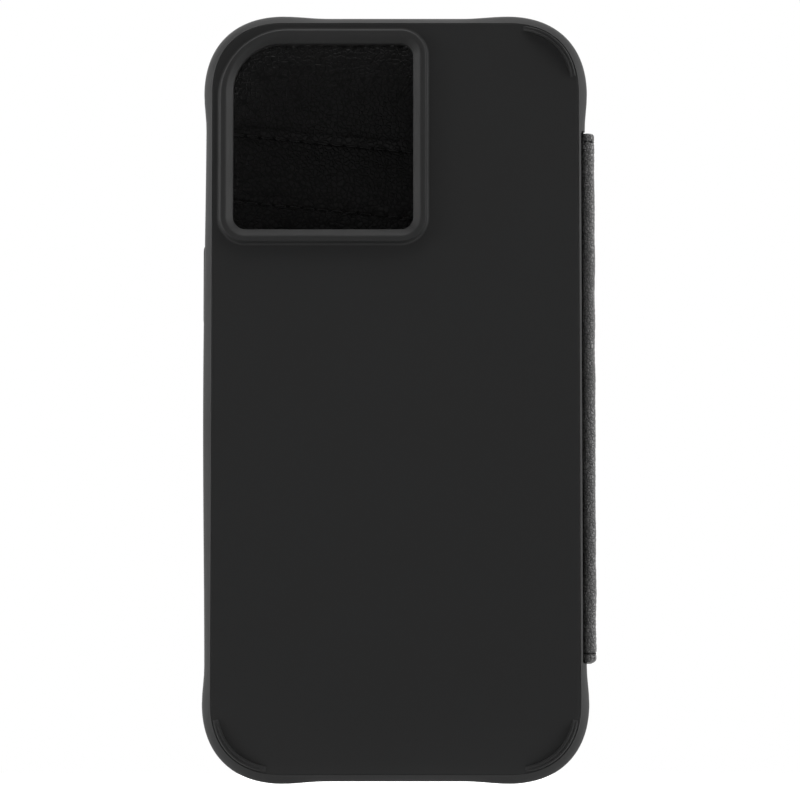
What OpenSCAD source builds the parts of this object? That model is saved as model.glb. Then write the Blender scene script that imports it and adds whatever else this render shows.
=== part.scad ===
// Folio case for a large phone. A moulded shell holds the phone, and a leather spine joins it
// to a stiffened leather cover with card pockets on its inside.
// The case stands closed and upright: X runs across it, Y from its back to its cover, Z up.

/* [Phone] */
// Width of the phone's space in the shell
phone_w = 77.9; // [77.4:0.1:78.2]
// Depth of the phone's space in the shell
phone_t = 7.95; // [7.6:0.05:8.3]

/* [Shell] */
// Width over the corner bumps
shell_w = 83.2; // [83:0.1:83.6]
// Height over the corner bumps
shell_h = 166.4; // [166.2:0.1:167]
// Corner radius of the shell's outline
shell_r = 17.1; // [16.9:0.1:17.5]
// How far each corner fills out past a quarter circle, at its middle
corner_fill = 0.6; // [0:0.1:0.8]
// How far the sides draw in between the corner bumps
waist = 0.5; // [0.2:0.05:0.6]
// Length over which a long side draws in
long_blend = 8; // [5:0.5:12]
// Length over which a short side draws in
short_blend = 10; // [5:0.5:12]
// How far the free side bows out at mid height
side_bow = 0.5; // [0:0.05:0.5]
// Thickness of the back panel
panel_t = 1.6; // [1.2:0.1:1.8]
// Width of the bevelled rim round the back panel, at the bumps
rim_w = 1.85; // [1.7:0.05:1.95]
// Slope of the rim's bevel where it leaves the back panel, in degrees
rim_slope = 38; // [25:1:45]
// Depth at which the rim's bevel has turned upright
rim_depth = 2.6; // [2.2:0.1:3]
// Thickness of the lining behind the phone
lining_t = 0.4; // [0.3:0.05:0.5]
// How far the front lip reaches over the phone
lip_reach = 1.05; // [0.6:0.05:1.3]
// Thickness of the front lip
lip_t = 1.25; // [1:0.05:1.4]

/* [Corner ridges] */
// Radius of a ridge's centre line about the corner's centre
ridge_r = 14.3; // [14:0.1:14.3]
// Width of a ridge
ridge_w = 1.5; // [1:0.1:1.6]
// Height of a ridge above the back
ridge_h = 1.2; // [0.5:0.1:1.4]
// Angle of a ridge's first end from the short direction
ridge_from = 14; // [10:1:20]
// Angle of a ridge's last end from the short direction
ridge_to = 77; // [70:1:80]

/* [Camera window] */
// Distance of the window's free edge from the shell's middle
window_left = 35.2; // [35:0.1:35.6]
// Distance of the window's other edge from the shell's middle
window_right = 3.8; // [0:0.1:6]
// Height of the window's lower edge
window_low = 119.4; // [118:0.1:124]
// Height of the window's upper edge
window_high = 160; // [159.5:0.1:160.5]
// Radius of the window's outer corner
window_big_r = 10.5; // [8:0.1:11]
// Radius of the window's other corners
window_small_r = 2.7; // [1.5:0.1:4]
// Height of the guard ring above the back
guard_h = 1.6; // [1:0.1:2]

/* [Keys and ports] */
// Height of the side key's centre
side_key_z = 107.75; // [100:0.25:112]
// Length of the side key
side_key_l = 17.1; // [14:0.1:18]
// How far the side key stands proud of the drawn-in side
side_key_proud = 0.65; // [0.5:0.05:0.8]
// Heights of the two volume keys' centres
volume_key_z = [122, 107.5];
// Length of a volume key
volume_key_l = 11; // [9:0.5:11]
// Width of every key
key_w = 3; // [2.6:0.1:3.4]
// Travel of every key
key_travel = 0.4; // [0.2:0.05:0.4]
// Height of the mute switch opening's centre
mute_z = 137; // [135:0.5:138]
// Length of the mute switch opening
mute_l = 12; // [10:0.5:13]
// Width of the mute switch opening
mute_w = 6; // [5:0.1:6.4]
// Width of the charging port opening
port_w = 14; // [10:0.5:16]
// Depth of the charging port opening
port_d = 6.4; // [5:0.1:6.6]
// Distance of a speaker slot's centre from the middle
speaker_x = 17.5; // [16:0.5:18]
// Length of a speaker slot
speaker_l = 13.5; // [8:0.5:14]
// Width of a speaker slot
speaker_d = 3.2; // [2:0.1:3.6]

/* [Spine] */
// Height of the spine's lower end
spine_low = 26; // [25:0.1:28]
// Height of the spine's upper end
spine_high = 140.7; // [138:0.1:141.5]
// Distance of the spine's outer face from the shell's middle
spine_x = 43.2; // [43.2:0.1:44]
// Thickness of the spine's leather
spine_leather_t = 1; // [0.8:0.05:1]
// Thickness of the spine's stiffener
stiffener_t = 0.35; // [0.2:0.05:0.35]
// Thickness of the spine's lining
spine_lining_t = 0.55; // [0.4:0.05:0.55]
// Distance of the shell's side from its middle, beside the spine
recess_x = 40.2; // [40.1:0.05:40.3]
// How far the leather roll is set back from the back panel's face
roll_back = 1.7; // [1.5:0.1:1.9]

/* [Cover] */
// Width of the cover
cover_w = 81.8; // [80:0.1:81.8]
// Height of the cover
cover_h = 165.4; // [164:0.1:165.4]
// Corner radius of the cover
cover_r = 16.5; // [14:0.5:18]
// Gap between the shell's lip and the first pocket
lip_gap = 0.3; // [0.3:0.05:0.6]
// Thickness of each pocket's leather
pocket_t = 0.7; // [0.5:0.05:0.8]
// Thickness of the cover's lining
cover_lining_t = 0.6; // [0.4:0.05:0.7]
// Thickness of the cover's board
board_t = 0.8; // [0.6:0.05:1]
// Thickness of the cover's outer leather
cover_leather_t = 1.1; // [1:0.05:1.3]
// Width of the leather turned round the board's edge
turn_in = 1.8; // [1.5:0.1:3]

/* [Pockets] */
// Margin between the cover's edge and the pockets
pocket_margin = 2.8; // [2.6:0.1:5]
// Heights of the three card pockets' mouths, at the cover's middle
mouth_z = [140.5, 125.5, 110.5];
// Slope of a mouth, in degrees
mouth_slope = 5.6; // [0:0.1:8]

/* [Stitching] */
// Pitch of the stitches
stitch_pitch = 3.1; // [2.8:0.1:4]
// Length of one stitch
stitch_l = 2.2; // [1.8:0.1:2.5]
// Width of one stitch
stitch_w = 0.5; // [0.3:0.05:0.6]
// Distance of a stitch row from a mouth or from the spine's end
stitch_edge = 1.9; // [1.5:0.1:3]
// Distance of the cover's stitch row from its edge
stitch_inset = 3.8; // [3.4:0.1:5]

/* [Hidden] */

plastic = [0.13, 0.13, 0.14];
soft_plastic = [0.2, 0.2, 0.21];
leather = [0.1, 0.1, 0.1];
thread = [0.05, 0.05, 0.05];
cloth = [0.28, 0.28, 0.3];
steel = [0.6, 0.6, 0.62];
card = [0.45, 0.4, 0.35];

arc_steps = 12;  // straight steps in each rounded corner
blend_steps = 5; // steps in each stretch where a side draws in
over = 1;        // how far a cut runs past the face it opens

middle_z = shell_h / 2;
core = [shell_w, shell_h] / 2 - [shell_r, shell_r]; // centre of a corner, from the shell's middle
edge_r = shell_r - rim_w;                              // the back's flat face ends this far from a core
panel_gap = 0.15;                                      // the panel ends this far inside the bevel
seat_r = edge_r - panel_gap;
phone_r = phone_w / 2 - core.x;
phone_h = 2 * (core.y + phone_r);
lip_r = phone_r - lip_reach;

// Layers from the back of the shell to the front of the cover
lining_y = panel_t;
phone_y = lining_y + lining_t;
lip_y = phone_y + phone_t;
shell_d = lip_y + lip_t;
phone_mid_y = phone_y + phone_t / 2;
pocket_3_y = shell_d + lip_gap;
pocket_2_y = pocket_3_y + pocket_t;
pocket_1_y = pocket_2_y + pocket_t;
bill_y = pocket_1_y + pocket_t;
cover_lining_y = bill_y + pocket_t;
board_y = cover_lining_y + cover_lining_t;
cover_leather_y = board_y + board_t;
front_y = cover_leather_y + cover_leather_t;

// The spine folds about a line at each side: by the shell at its outer face, by the cover in its middle
fold_gap = 0.3;
roll_r = (spine_x - recess_x) / 2;
roll_mid = [recess_x + roll_r, roll_back + roll_r];
roll_end_y = roll_mid.y + 0.6;
spine_y = roll_end_y + fold_gap;
spine_in_x = spine_x - spine_leather_t - stiffener_t - spine_lining_t;
spine_turn_y = front_y - spine_leather_t;
recess_gap = 0.3;

// The cover is centred on the shell, and its hinge edge stops short of the spine
cover_right = spine_in_x - fold_gap;
cover_left = cover_right - cover_w;
cover_low = (shell_h - cover_h) / 2;
cover_mid = [(cover_left + cover_right) / 2, middle_z];

key_out_x = recess_x + 0.6;
key_flange_t = 0.3;
key_play = 0.15;
key_flange = 1.2;
side_out_x = shell_w / 2 - waist + side_key_proud;
magnet = [1.2, 2, 18];
magnet_z = [52, 138];
thread_depth = 0.3;

// The origin lies under the middle of the closed case
shift = [-(spine_x - side_out_x) / 2, -(front_y - guard_h) / 2, 0];

// Smooth step from 0 to 1 as t goes from 0 to 1
function ease(t) = (1 - cos(180 * min(max(t, 0), 1))) / 2;

// Outline of a rectangle with its own radius at each corner, from its upper right corner round
function rounded(low, high, radii) = [
    for (k = [0 : 3])
        let (
            r = radii[k],
            c = [k == 0 || k == 3 ? high.x - r : low.x + r, k < 2 ? high.y - r : low.y + r]
        )
        for (i = [0 : arc_steps])
            let (a = 90 * (k + i / arc_steps)) c + r * [cos(a), sin(a)]
];
function evenly(low, high, r) = rounded(low, high, [r, r, r, r]);
function centred(half, r) = evenly([-half.x, middle_z - half.y], [half.x, middle_z + half.y], r);

// Places along half a side, from its end inwards, close together where the side draws in
function places(half, blend) = [for (i = [0 : blend_steps]) half - blend * i / blend_steps];

// Stations round the shell, each a point of the core rectangle and the direction outwards from it
function stations() = let (
        up = places(core.y, long_blend),
        across = places(core.x, short_blend),
        inner = [for (i = [1 : 5]) (core.y - long_blend) * (1 - i / 3)]
    ) concat(
        [for (i = [blend_steps : -1 : 0]) [[core.x, up[i]], [1, 0]]],
        [for (i = [1 : arc_steps - 1]) [[core.x, core.y], bearing(90 * i / arc_steps)]],
        [for (x = across) [[x, core.y], [0, 1]]],
        [for (i = [blend_steps : -1 : 0]) [[-across[i], core.y], [0, 1]]],
        [for (i = [1 : arc_steps - 1]) [[-core.x, core.y], bearing(90 + 90 * i / arc_steps)]],
        [for (z = up) [[-core.x, z], [-1, 0]]],
        [for (z = inner) [[-core.x, z], [-1, 0]]],
        [for (i = [blend_steps : -1 : 0]) [[-core.x, -up[i]], [-1, 0]]],
        [for (i = [1 : arc_steps - 1]) [[-core.x, -core.y], bearing(180 + 90 * i / arc_steps)]],
        [for (x = across) [[-x, -core.y], [0, -1]]],
        [for (i = [blend_steps : -1 : 0]) [[across[i], -core.y], [0, -1]]],
        [for (i = [1 : arc_steps - 1]) [[core.x, -core.y], bearing(270 + 90 * i / arc_steps)]],
        [for (z = up) [[core.x, -z], [1, 0]]]
    );
function bearing(a) = [cos(a), sin(a)];

// How far a corner fills out past its quarter circle, in the direction n
function fill(n) = corner_fill * pow(2 * n.x * n.y, 2);

// How far the shell's side lies from the core rectangle: full at the corners, less by the waist
// between them, and bowed out along the free side
function reach(p, n) =
    shell_r
    - (n.y == 0 ? waist * ease((core.y - abs(p.y)) / long_blend) : 0)
    - (n.x == 0 ? waist * ease((core.x - abs(p.x)) / short_blend) : 0)
    + (n.x == -1 ? side_bow * pow(cos(90 * p.y / core.y), 2) : 0);

// Ring of the shell at depth y, a share f of the way from the panel's edge to the outer side
function shell_ring(f, y) = [
    for (s = stations())
        let (p = s[0] + s[1] * (edge_r + fill(s[1]) + f * (reach(s[0], s[1]) - edge_r)))
        [p.x, y, middle_z + p.y]
];

// Ring round the inside of the shell, at a distance r from the core rectangle
function inner_ring(r, y) = [
    for (s = stations()) let (p = s[0] + s[1] * r) [p.x, y, middle_z + p.y]
];

// Outline of the back panel, and of the seat that it is set into
function seat_outline() = [
    for (s = stations()) let (p = s[0] + s[1] * (seat_r + fill(s[1]))) [p.x, middle_z + p.y]
];
function seat_ring(y) = [for (p = seat_outline()) [p.x, y, p.y]];

// The rim's bevel is a curve with one control point: it leaves the panel's edge at the rim's
// slope and turns upright at the side
function rim_ring(t) = shell_ring(
    2 * t - t * t, 2 * t * (1 - t) * rim_w * tan(rim_slope) + t * t * rim_depth
);
// The front edge is rounded by a quarter circle
front_round = 1.4;
function front_ring(a) = shell_ring(
    1 - front_round / rim_w * (1 - cos(a)), shell_d - front_round * (1 - sin(a))
);

// Closed skin through rings of points. Its ends are capped, unless the last ring joins the first
module skin(rings, looped = false) {
    n = len(rings[0]);
    m = len(rings);
    wall = [
        for (i = [0 : m - (looped ? 1 : 2)], j = [0 : n - 1])
            let (i2 = (i + 1) % m, j2 = (j + 1) % n, a = i * n + j, b = i * n + j2, c = i2 * n + j2, d = i2 * n + j)
            each [[a, b, c], [a, c, d]]
    ];
    caps = looped ? [] : [[for (j = [n - 1 : -1 : 0]) j], [for (j = [0 : n - 1]) (m - 1) * n + j]];
    polyhedron([for (r = rings) each r], concat(wall, caps));
}

// Flat sheet of an outline in X and Z, from one depth to another
module sheet(outline, from_y, to_y) {
    translate([0, to_y, 0]) rotate([90, 0, 0]) linear_extrude(to_y - from_y) polygon(outline);
}

module key_slot(l, w, grow, from_x, to_x) {
    half = [w / 2 + grow, l / 2 + grow];
    translate([from_x, phone_mid_y, 0]) rotate([90, 0, 90])
        linear_extrude(to_x - from_x) polygon(evenly(-half, half, half.x));
}

// A key: its stem reaches out through the wall, and the flange inside keeps it captive
module key(l, z, seat_x, out_x) {
    translate([0, 0, z]) {
        key_slot(l, key_w, 0, seat_x - key_flange_t, out_x);
        key_slot(l, key_w, key_flange - 2 * key_play, seat_x - key_flange_t, seat_x);
    }
}

// The space that a key moves in: its slot and the pocket for its flange
module key_space(l, z, seat_x) {
    translate([0, 0, z]) {
        key_slot(l, key_w, key_play, phone_w / 2 - over, shell_w / 2 + over);
        key_slot(l, key_w, key_flange, phone_w / 2 - over, seat_x);
    }
}

side_seat_x = phone_w / 2 + key_travel + key_flange_t + 0.2;
volume_seat_x = phone_w / 2 + key_travel + key_flange_t;

module magnets(x, y, size) {
    for (z = magnet_z) translate([x, y, z - size.z / 2]) cube(size);
}

module shell_magnet_bars() {
    magnets(-phone_w / 2 - magnet.x, lip_y - magnet.y, magnet);
}

module bumper_frame() {
    color(soft_plastic) difference() {
        skin([
            seat_ring(panel_t),
            seat_ring(0),
            for (i = [0 : 5]) rim_ring(i / 5),
            for (i = [0 : 3]) front_ring(30 * i),
            inner_ring(lip_r, shell_d),
            inner_ring(lip_r, lip_y),
            inner_ring(phone_r, lip_y),
            inner_ring(phone_r, panel_t)
        ], looped = true);
        translate([recess_x, -over, spine_low - recess_gap])
            cube([shell_w, shell_d + 2 * over, spine_high - spine_low + 2 * recess_gap]);
        mirror([1, 0, 0]) key_space(side_key_l, side_key_z, side_seat_x);
        for (z = volume_key_z) key_space(volume_key_l, z, volume_seat_x);
        translate([0, 0, mute_z]) key_slot(mute_l, mute_w, 0, phone_w / 2 - over, shell_w / 2 + over);
        for (x = [-speaker_x, speaker_x]) port(x, speaker_l, speaker_d);
        port(0, port_w, port_d);
        shell_magnet_bars();
    }
}

// A round-ended opening through the bottom wall
module port(x, w, d) {
    half = [w, d] / 2;
    translate([x, phone_mid_y, -over])
        linear_extrude(middle_z - phone_h / 2 + 2 * over) polygon(evenly(-half, half, half.y));
}

// A ridge's cross-section at angle a: a low arch whose width and height fade at both ends
function ridge_ring(a) = let (
        t = (a - ridge_from) / (ridge_to - ridge_from),
        fade = max(0.12, sqrt(sin(180 * t))),
        middle_r = ridge_r + fill(bearing(a)),
        half_w = ridge_w / 2 * fade
    ) [
        for (i = [0 : 9])
            let (b = 20 * i, p = (middle_r + cos(b) * half_w) * bearing(a))
            [p.x, -sin(b) * ridge_h * fade, p.y],
        for (side = [-1, 1]) let (p = (middle_r + side * half_w) * bearing(a)) [p.x, panel_t / 2, p.y]
    ];

module ridge() {
    steps = 14;
    translate([core.x, 0, core.y])
        skin([for (i = [0 : steps]) ridge_ring(ridge_from + (ridge_to - ridge_from) * i / steps)]);
}

module back_panel() {
    color(plastic) {
        difference() {
            sheet(seat_outline(), 0, panel_t);
            sheet(window(guard_throat), -over, panel_t + over);
        }
        translate([0, 0, middle_z]) {
            ridge();
            mirror([0, 0, 1]) ridge();
            mirror([1, 0, 0]) mirror([0, 0, 1]) ridge();
        }
    }
}

// The window's outline, grown by d. The outer corner's radius grows faster than the others
function window(d) = rounded(
    [-window_left - d, window_low - d], [window_right + d, window_high + d],
    [window_small_r + d, window_big_r + 1.45 * d, window_small_r + d, window_small_r + d]
);
guard_throat = 1.2;

module camera_guard() {
    // Distance out from the window and depth, round the ring's section
    section = [
        [0, panel_t], [0, -0.15], [1.5, 0.1 - guard_h], [1.75, -guard_h], [2.55, -guard_h],
        [2.8, 0.15 - guard_h], [3.3, 0], [guard_throat, 0], [guard_throat, panel_t]
    ];
    color(soft_plastic)
        skin([for (s = section) [for (p = window(s[0])) [p.x, s[1], p.y]]], looped = true);
}

module back_lining() {
    color(cloth) difference() {
        sheet(centred([phone_w, phone_h] / 2, phone_r), lining_y, phone_y);
        sheet(window(0.4), lining_y - over, phone_y + over);
    }
}

module side_button() {
    color(soft_plastic) mirror([1, 0, 0]) key(side_key_l, side_key_z, side_seat_x, side_out_x);
}

module volume_button(z) {
    color(soft_plastic) key(volume_key_l, z, volume_seat_x, key_out_x);
}

module shell_magnets() {
    color(steel) shell_magnet_bars();
}

// The strip fills the roll's core
strip = [1.3, roll_end_y - roll_mid.y + 0.5];
module spine_anchor_strip() {
    color(card) translate([roll_mid.x - strip.x / 2, roll_end_y - strip.y, spine_low + 1])
        cube([strip.x, strip.y, spine_high - spine_low - 2]);
}

module spine_anchor_leather() {
    color(leather) difference() {
        translate([0, 0, spine_low]) linear_extrude(spine_high - spine_low) polygon([
            [recess_x, roll_end_y],
            for (i = [0 : 12]) roll_mid + roll_r * bearing(180 + 15 * i),
            [spine_x, roll_end_y]
        ]);
        spine_anchor_strip();
    }
}

module anchor_stitching() {
    color(thread) for (z = [spine_low + stitch_edge, spine_high - stitch_edge])
        translate([roll_mid.x - stitch_l / 3, roll_back + 0.05, z - stitch_w / 2])
            cube([stitch_l * 2 / 3, thread_depth, stitch_w]);
}

module spine_leather() {
    r = spine_leather_t;
    color(leather) translate([0, 0, spine_low]) linear_extrude(spine_high - spine_low) polygon([
        [spine_x - r, spine_y], [spine_x, spine_y],
        for (i = [0 : 6]) [spine_x - r, front_y - r] + r * bearing(15 * i)
    ]);
}

module spine_layer(from_x, to_x) {
    translate([from_x, spine_y, spine_low])
        cube([to_x - from_x, spine_turn_y - spine_y, spine_high - spine_low]);
}

module spine_stiffener() {
    color(card) spine_layer(spine_in_x + spine_lining_t, spine_x - spine_leather_t);
}

module spine_lining() {
    color(cloth) spine_layer(spine_in_x, spine_in_x + spine_lining_t);
}

module spine_stitching() {
    count = floor((spine_turn_y - spine_y) / stitch_pitch);
    color(thread)
        for (z = [spine_low + stitch_edge, spine_high - stitch_edge], i = [0 : count - 1])
            translate([
                spine_x - thread_depth,
                (spine_y + spine_turn_y) / 2 + (i - (count - 1) / 2) * stitch_pitch - stitch_l / 2,
                z - stitch_w / 2
            ])
                cube([thread_depth, stitch_l, stitch_w]);
}

function cover_outline(inset) = evenly(
    [cover_left + inset, cover_low + inset],
    [cover_right - inset, cover_low + cover_h - inset], cover_r - inset
);

module cover_leather() {
    color(leather) difference() {
        sheet(cover_outline(0), board_y, front_y);
        sheet(cover_outline(turn_in), board_y - over, cover_leather_y);
    }
}

module cover_magnet_bars() {
    magnets(cover_left + turn_in + 0.6, board_y, [4, board_t, magnet.z]);
}

module cover_board() {
    color(card) difference() {
        sheet(cover_outline(turn_in), board_y, cover_leather_y);
        cover_magnet_bars();
    }
}

module cover_magnets() {
    color(steel) cover_magnet_bars();
}

module cover_lining() {
    color(cloth) sheet(cover_outline(0.5), cover_lining_y, board_y);
}

// The open end of the bill pocket faces the spine
bill_mouth = 4.4;
module bill_pocket() {
    color(leather) difference() {
        sheet(cover_outline(pocket_margin), bill_y, cover_lining_y);
        translate([cover_right - pocket_margin - bill_mouth, bill_y - over, 0])
            cube([cover_r, pocket_t + 2 * over, shell_h]);
    }
}

// Height of pocket k's mouth at a distance x from the cover's middle
function mouth(k, x) = mouth_z[k - 1] - x * tan(mouth_slope);

// The area below pocket k's mouth, down to below the cover
function below_mouth(k) = let (x = cover_w)
    [[-x, -over], [x, -over], [x, mouth(k, x)], [-x, mouth(k, -x)]];

pocket_right = cover_right - pocket_margin - bill_mouth;
module card_pocket(k, y) {
    color(leather) intersection() {
        sheet(cover_outline(pocket_margin), y, y + pocket_t);
        sheet(below_mouth(k), y - over, y + pocket_t + over);
        translate([-shell_w, y - over, -over]) cube([shell_w + pocket_right, pocket_t + 2 * over, shell_h]);
    }
}

module pocket_stitching(k, y) {
    run = pocket_right - cover_left - pocket_margin - 2 * stitch_edge;
    count = floor(run / stitch_pitch);
    start = cover_left + pocket_margin + stitch_edge + stitch_pitch / 2;
    color(thread) for (i = [0 : count - 1])
        let (x = start + i * stitch_pitch)
            translate([x, y, mouth(k, x) - stitch_edge]) rotate([0, mouth_slope, 0])
                translate([-stitch_l / 2, 0, -stitch_w / 2]) cube([stitch_l, thread_depth, stitch_w]);
}

// Point and heading at a distance s along the cover's stitch row, from the foot of its right side
seam_r = cover_r - stitch_inset;
seam_half = [cover_w, cover_h] / 2 - [1, 1] * stitch_inset;
seam_side = [2 * (seam_half.y - seam_r), 2 * (seam_half.x - seam_r)];
seam_arc = PI / 2 * seam_r;
seam_length = 2 * (seam_side.x + seam_side.y) + 4 * seam_arc;
function seam(s, k = 0) = let (side = seam_side[k % 2])
    s > side + seam_arc ? seam(s - side - seam_arc, k + 1)
    : let (
        a = max(0, s - side) / seam_r * 180 / PI,
        along = min(s, side) - side / 2,
        local = [seam_half[k % 2] - seam_r, along] + seam_r * bearing(a)
    ) concat(turned(local, 90 * k), [a + 90 * k]);
function turned(p, a) = [p.x * cos(a) - p.y * sin(a), p.x * sin(a) + p.y * cos(a)];

// Depth of the innermost layer's face at a place on the cover
function inner_face(x, z) =
    x > pocket_right ? cover_lining_y
    : z < mouth(3, x) ? pocket_3_y
    : z < mouth(2, x) ? pocket_2_y
    : z < mouth(1, x) ? pocket_1_y
    : bill_y;

// The row goes through every layer of the cover, so it shows on both faces
module cover_stitching() {
    count = floor(seam_length / stitch_pitch);
    color(thread) for (i = [0 : count - 1])
        let (p = seam(seam_length * i / count), x = cover_mid.x + p[0], z = cover_mid.y + p[1])
            translate([x, 0, z]) rotate([0, -p[2], 0])
                for (y = [inner_face(x, z), front_y - thread_depth])
                    translate([-stitch_w / 2, y, -stitch_l / 2]) cube([stitch_w, thread_depth, stitch_l]);
}

translate(shift) {
    bumper_frame();
    back_panel();
    camera_guard();
    back_lining();
    side_button();
    volume_button(volume_key_z[0]);  // volume_up_button
    volume_button(volume_key_z[1]);  // volume_down_button
    shell_magnets();
    spine_anchor_strip();
    spine_anchor_leather();
    anchor_stitching();
    spine_leather();
    spine_stiffener();
    spine_lining();
    spine_stitching();
    cover_leather();
    cover_board();
    cover_lining();
    bill_pocket();
    card_pocket(1, pocket_1_y);  // card_pocket_1
    card_pocket(2, pocket_2_y);  // card_pocket_2
    card_pocket(3, pocket_3_y);  // card_pocket_3
    cover_magnets();
    cover_stitching();
    pocket_stitching(1, pocket_1_y);  // pocket_stitching_1
    pocket_stitching(2, pocket_2_y);  // pocket_stitching_2
    pocket_stitching(3, pocket_3_y);  // pocket_stitching_3
}
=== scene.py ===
"""A folio phone case: a moulded shell for the phone, a leather spine and a card-pocket cover."""

import math

import bmesh
import bpy
import numpy as np
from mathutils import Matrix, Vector


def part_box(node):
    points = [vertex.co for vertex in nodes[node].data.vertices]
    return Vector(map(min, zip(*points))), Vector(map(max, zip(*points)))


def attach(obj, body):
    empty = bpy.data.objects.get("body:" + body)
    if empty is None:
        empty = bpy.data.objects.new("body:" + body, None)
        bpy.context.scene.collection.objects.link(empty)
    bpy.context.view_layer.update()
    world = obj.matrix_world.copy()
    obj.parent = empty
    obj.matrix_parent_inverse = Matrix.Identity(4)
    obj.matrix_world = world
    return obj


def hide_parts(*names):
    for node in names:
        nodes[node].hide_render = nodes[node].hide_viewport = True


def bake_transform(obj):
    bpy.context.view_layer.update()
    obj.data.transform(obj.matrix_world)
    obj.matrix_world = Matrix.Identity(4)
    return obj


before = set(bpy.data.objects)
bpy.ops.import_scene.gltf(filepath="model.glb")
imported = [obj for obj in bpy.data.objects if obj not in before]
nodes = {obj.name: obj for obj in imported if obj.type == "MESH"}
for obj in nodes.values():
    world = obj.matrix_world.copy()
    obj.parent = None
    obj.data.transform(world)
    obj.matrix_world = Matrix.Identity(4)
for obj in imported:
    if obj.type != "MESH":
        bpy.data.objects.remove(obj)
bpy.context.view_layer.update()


# ---- Camera --------------------------------------------------------------------------
# A long lens square to the back of the closed case, and a little below its middle.
mm = 0.001
shell_low, shell_high = (np.array(corner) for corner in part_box("bumper_frame"))
mid_x, _, mid_z = (shell_low + shell_high) / 2
back_y = shell_low[1]

camera_distance = 0.9
camera_tilt = math.radians(-5.1)
aim = Vector((mid_x + 0.95 * mm, back_y, mid_z - 0.85 * mm))
away = Vector((0, -math.cos(camera_tilt), math.sin(camera_tilt)))
camera = bpy.data.objects.new("camera", bpy.data.cameras.new("camera"))
camera.data.lens = 188.0
camera.data.sensor_width = 36
camera.location = aim + away * camera_distance
camera.rotation_euler = (-away).to_track_quat("-Z", "Y").to_euler()
bpy.context.scene.collection.objects.link(camera)
bpy.context.scene.camera = camera


# ---- Floor and light -----------------------------------------------------------------
# A white table in a white room, bright behind the case and dim in front of it. Large soft
# panels stand to the left, to the right and above, and weak ones in front and behind.
bpy.context.scene.view_settings.view_transform = "Standard"


def nodes_of(owner):
    """Empties the owner's node tree and returns functions that add and link its nodes."""
    owner.use_nodes = True
    tree = owner.node_tree
    tree.nodes.clear()
    return tree_tools(tree)


def tree_tools(tree):
    """Returns add(kind, **inputs), which makes a node and fills or links its inputs. An
    input is given by its name, or by its place as i0, i1 and so on."""

    def add(kind, settings=(), **inputs):
        node = tree.nodes.new(kind)
        for key, value in dict(settings).items():
            setattr(node, key, value)
        for key, value in inputs.items():
            by_place = key[1:].isdigit()
            socket = node.inputs[int(key[1:]) if by_place else key.replace("_", " ")]
            if isinstance(value, bpy.types.NodeSocket):
                tree.links.new(value, socket)
            else:
                socket.default_value = value
        return node

    return add


def span(add, value, low, high, to_low, to_high):
    """Map Range node, with an eased step between its two ends."""
    steps = {"interpolation_type": "SMOOTHSTEP"}
    node = add(
        "ShaderNodeMapRange", steps, Value=value, From_Min=low, From_Max=high,
        To_Min=to_low, To_Max=to_high,
    )
    return node.outputs[0]


def seen_and_lit(add, seen, lit, output):
    """Mixes two shaders: one for what the camera sees, one for the light that is given."""
    path = add("ShaderNodeLightPath")
    mix = add("ShaderNodeMixShader", i0=path.outputs["Is Camera Ray"], i1=lit, i2=seen)
    add(output, Surface=mix.outputs[0])


world = bpy.data.worlds.new("white_room")
bpy.context.scene.world = world
add = nodes_of(world)
room_seen = add("ShaderNodeBackground", Color=(1, 1, 1, 1), Strength=1.0)
towards = add("ShaderNodeSeparateXYZ", Vector=add("ShaderNodeTexCoord").outputs["Generated"])
behind = span(add, towards.outputs[1], -0.42, 0.25, 0.03, 1.5)
room_light = add("ShaderNodeBackground", Color=(1, 1, 1, 1), Strength=behind)
seen_and_lit(add, room_seen.outputs[0], room_light.outputs[0], "ShaderNodeOutputWorld")

floor_z = shell_low[2] - 0.02 * mm
floor_mesh = bpy.data.meshes.new("table_top")
floor_half = 8
floor_corners = [
    (x * floor_half, y * floor_half, floor_z) for x, y in ((-1, -1), (1, -1), (1, 1), (-1, 1))
]
floor_mesh.from_pydata(floor_corners, [], [(0, 1, 2, 3)])
floor = bpy.data.objects.new("table_top", floor_mesh)
bpy.context.scene.collection.objects.link(floor)
floor_paint = bpy.data.materials.new("white_table")
add = nodes_of(floor_paint)
glow = add("ShaderNodeEmission", Color=(1, 1, 1, 1), Strength=0.8)
paint = add("ShaderNodeBsdfDiffuse", Color=(0.8, 0.8, 0.8, 1))
both = add("ShaderNodeAddShader", i0=glow.outputs[0], i1=paint.outputs[0])
along = add("ShaderNodeSeparateXYZ", Vector=add("ShaderNodeTexCoord").outputs["Object"])
behind = span(add, along.outputs[1], -0.06, 0.02, 0.04, 0.65)
dull = add("ShaderNodeBsdfDiffuse", Color=(0.4, 0.4, 0.4, 1))
gleam = add("ShaderNodeEmission", Color=(1, 1, 1, 1), Strength=behind)
bounce = add("ShaderNodeAddShader", i0=gleam.outputs[0], i1=dull.outputs[0])
seen_and_lit(add, both.outputs[0], bounce.outputs[0], "ShaderNodeOutputMaterial")
floor_mesh.materials.append(floor_paint)


def light_panel(name, place, size, watts):
    """Rectangular light at a place in metres, turned to the middle of the case."""
    light = bpy.data.objects.new(name, bpy.data.lights.new(name, "AREA"))
    light.data.shape = "RECTANGLE"
    light.data.size, light.data.size_y = size
    light.data.energy = watts
    light.location = place
    beam = Vector((mid_x, 0, mid_z)) - Vector(place)
    light.rotation_euler = beam.to_track_quat("-Z", "Y").to_euler()
    light.visible_camera = False
    bpy.context.scene.collection.objects.link(light)


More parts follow.
